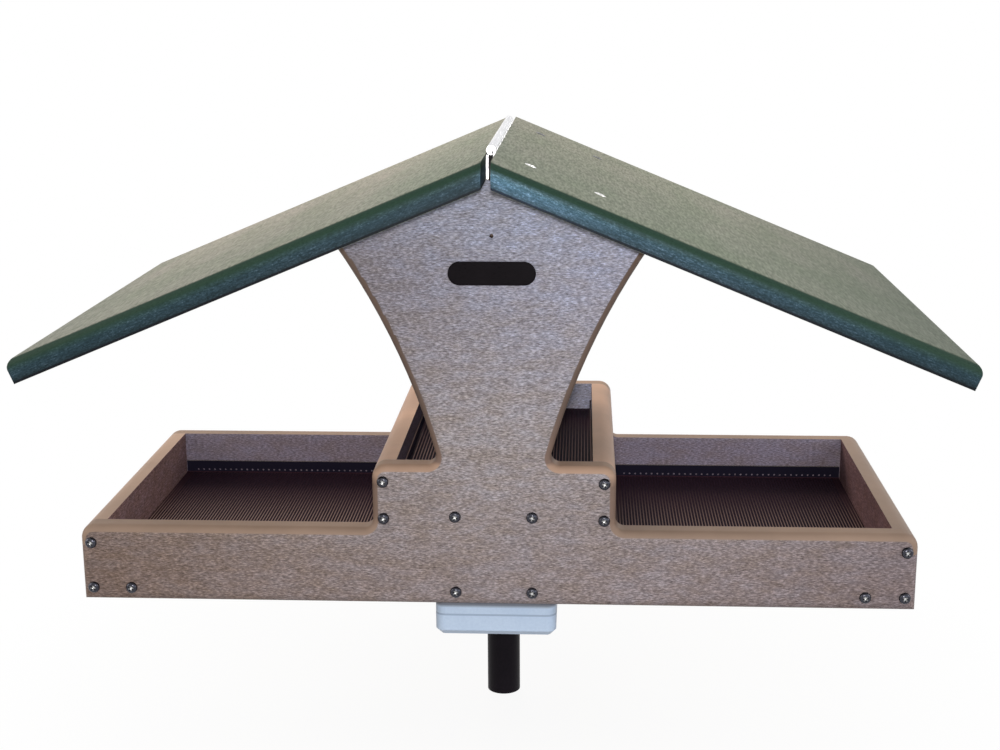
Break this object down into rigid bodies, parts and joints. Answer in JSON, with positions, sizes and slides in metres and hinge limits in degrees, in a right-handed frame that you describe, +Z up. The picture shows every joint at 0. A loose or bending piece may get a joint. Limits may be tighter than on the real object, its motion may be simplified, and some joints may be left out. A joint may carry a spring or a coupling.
{
  "type": "pole mounted platform bird feeder",
  "caption": "Pole mounted bird feeder with low side trays, a raised centre tray, perforated screens that lift out and a gabled roof whose left panel is hinged at the ridge",
  "frame": {"origin": "centre of the lower end of the pole", "axes": "+Z up along the pole, +X to the right along the trays, +Y to the back, the name plate faces -Y"},
  "size_m": [0.6188, 0.3746, 0.4395],
  "materials": {
    "faced_board": "brushed grey brown face, smooth tan routed edge",
    "tan_board": "smooth tan plastic board",
    "green_board": "brushed sage face, darker green routed edge",
    "hinge_metal": "bright mill finish",
    "pin_steel": "plain steel",
    "dark_sheet": "dark brown powder coat on perforated sheet",
    "pale_plastic": "pale blue grey plastic",
    "black_pole": "black powder coat",
    "black_plate": "bare black plate",
    "black_screw": "black coated, half gloss"
  },
  "bodies": {
    "frame": {"front_panel": "faced_board", "back_panel": "faced_board", "left_end_wall": "tan_board", "right_end_wall": "tan_board", "left_inner_wall": "tan_board", "right_inner_wall": "tan_board", "left_floor_slat": "tan_board", "right_floor_slat": "tan_board", "lower_board": "tan_board", "upper_board": "tan_board", "right_roof_panel": "green_board", "fixed_hinge_leaf": "hinge_metal", "hinge_pin": "pin_steel", "pole_block_upper": "pale_plastic", "pole_block_lower": "pale_plastic", "pole": "black_pole", "name_plate": "black_plate", "front_panel_screws": "black_screw", "back_panel_screws": "black_screw", "roof_screws": "black_screw", "pole_block_screws": "black_screw", "fixed_leaf_screws": "pin_steel"},
    "lid": {"left_roof_panel": "green_board", "lid_hinge_leaf": "hinge_metal", "lid_leaf_screws": "pin_steel"},
    "left_tray_screen": {"left_screen": "dark_sheet"},
    "centre_tray_screen": {"centre_screen": "dark_sheet"},
    "right_tray_screen": {"right_screen": "dark_sheet"}
  },
  "joints": [
    {"name": "roof_hinge", "type": "hinge", "parent": "frame", "child": "lid", "pos_m": [0, 0, 0.43621], "axis": [0, 1, 0], "range_deg": [0, 125]},
    {"name": "left_screen_lift", "type": "slide", "parent": "frame", "child": "left_tray_screen", "axis": [0, 0, 1], "range_m": [0, 0.1]},
    {"name": "centre_screen_lift", "type": "slide", "parent": "frame", "child": "centre_tray_screen", "axis": [0, 0, 1], "range_m": [0, 0.15]},
    {"name": "right_screen_lift", "type": "slide", "parent": "frame", "child": "right_tray_screen", "axis": [0, 0, 1], "range_m": [0, 0.1]}
  ]
}
